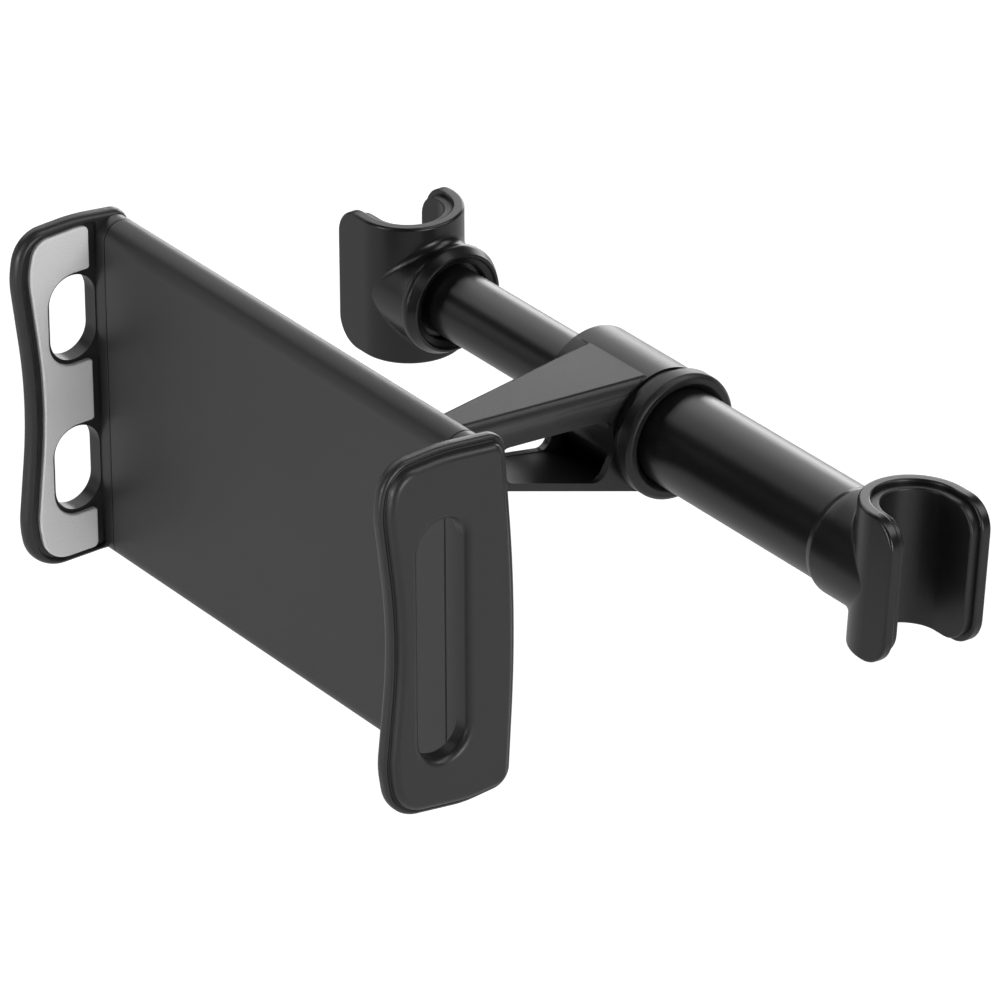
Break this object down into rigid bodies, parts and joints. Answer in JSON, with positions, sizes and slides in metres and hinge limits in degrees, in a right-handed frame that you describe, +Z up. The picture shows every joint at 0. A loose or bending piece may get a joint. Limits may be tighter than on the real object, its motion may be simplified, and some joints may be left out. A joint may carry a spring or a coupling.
{
  "type": "headrest tablet holder",
  "caption": "Headrest tablet holder: telescopic bar with two post hooks, hollow swing arm, and a ball-jointed cradle whose sprung jaws slide apart to grip a tablet.",
  "frame": {"origin": "middle of the right-hand post channel, on the bar's axis", "axes": "+X along the bar towards the right hook's open side, +Y from the tablet towards the headrest, +Z up"},
  "size_m": [0.173, 0.1183, 0.0763],
  "materials": {
    "tube_black": "satin black coating",
    "hook_gloss_black": "smooth half-gloss black moulding",
    "liner_rubber": "matt black rubber",
    "plain_black_plastic": "plain black moulding",
    "arm_black": "fine-grained satin black moulding",
    "ring_black": "satin black moulding",
    "plate_black": "fine-textured matt black moulding",
    "jaw_black": "satin black moulding with a fine grain",
    "grey_silicone": "light grey silicone",
    "pale_plastic": "natural acetal",
    "steel": "zinc-plated steel"
  },
  "bodies": {
    "bar": {"outer_tube": "tube_black", "tube_guide_bush": "plain_black_plastic", "right_hook": "hook_gloss_black", "right_hook_liner": "liner_rubber", "right_tube_plug": "plain_black_plastic", "right_hook_screw": "steel"},
    "collet": {"lock_collet": "pale_plastic"},
    "left_bar": {"inner_tube": "tube_black", "left_hook": "hook_gloss_black", "left_hook_liner": "liner_rubber", "left_tube_plug": "plain_black_plastic", "left_hook_screw": "steel", "expander_stud": "steel"},
    "arm": {"arm_body": "arm_black", "flange_ring": "ring_black", "sleeve_bush": "plain_black_plastic", "ball_stud": "steel", "stud_nut": "steel"},
    "seat": {"ball_seat": "pale_plastic"},
    "ring": {"ball_ring": "pale_plastic"},
    "cradle": {"front_shell": "plate_black", "rear_cover": "plate_black", "cover_screw_1": "steel", "cover_screw_2": "steel", "cover_screw_3": "steel", "cover_screw_4": "steel", "left_jaw_spring": "steel", "right_jaw_spring": "steel"},
    "nut": {"lock_nut": "ring_black"},
    "right_jaw_set": {"right_jaw": "jaw_black", "right_pad": "grey_silicone"},
    "left_jaw_set": {"left_jaw": "jaw_black", "left_pad": "grey_silicone"},
    "pinion": {"sync_pinion": "pale_plastic"}
  },
  "joints": [
    {"name": "bar_extend", "type": "slide", "parent": "bar", "child": "collet", "axis": [-1, 0, 0], "range_m": [-0.04, 0.015]},
    {"name": "bar_twist", "type": "hinge", "parent": "collet", "child": "left_bar", "pos_m": [-0.1554, 0, 0], "axis": [1, 0, 0], "range_deg": [-90, 90]},
    {"name": "arm_tilt", "type": "hinge", "parent": "bar", "child": "arm", "pos_m": [-0.084, 0, 0], "axis": [1, 0, 0], "range_deg": [-90, 90]},
    {"name": "ball_tilt", "type": "hinge", "parent": "arm", "child": "seat", "pos_m": [-0.084, -0.064, 0.00845], "axis": [1, 0, 0], "range_deg": [-20, 20]},
    {"name": "ball_swivel", "type": "hinge", "parent": "seat", "child": "ring", "pos_m": [-0.084, -0.064, 0.00845], "axis": [0, 0, 1], "range_deg": [-20, 20]},
    {"name": "cradle_spin", "type": "hinge", "parent": "ring", "child": "cradle", "pos_m": [-0.084, -0.064, 0.00845], "axis": [0, 1, 0], "continuous": true},
    {"name": "nut_turn", "type": "hinge", "parent": "cradle", "child": "nut", "pos_m": [-0.084, -0.064, 0.00845], "axis": [0, 1, 0], "range_deg": [-180, 180]},
    {"name": "left_jaw_slide", "type": "slide", "parent": "cradle", "child": "left_jaw_set", "axis": [-1, 0, 0], "range_m": [0, 0.048], "stiffness_N_per_m": 150, "springref_m": -0.03},
    {"name": "right_jaw_slide", "type": "slide", "parent": "cradle", "child": "right_jaw_set", "axis": [1, 0, 0], "range_m": [0, 0.048]},
    {"name": "pinion_turn", "type": "hinge", "parent": "cradle", "child": "pinion", "pos_m": [-0.084, -0.082, 0.00845], "axis": [0, 1, 0], "range_deg": [-344, 0]}
  ],
  "couplings": [
    {"joint": "right_jaw_slide", "follows": "left_jaw_slide", "ratio": 1},
    {"joint": "pinion_turn", "follows": "left_jaw_slide", "rad_per_m": -125}
  ]
}
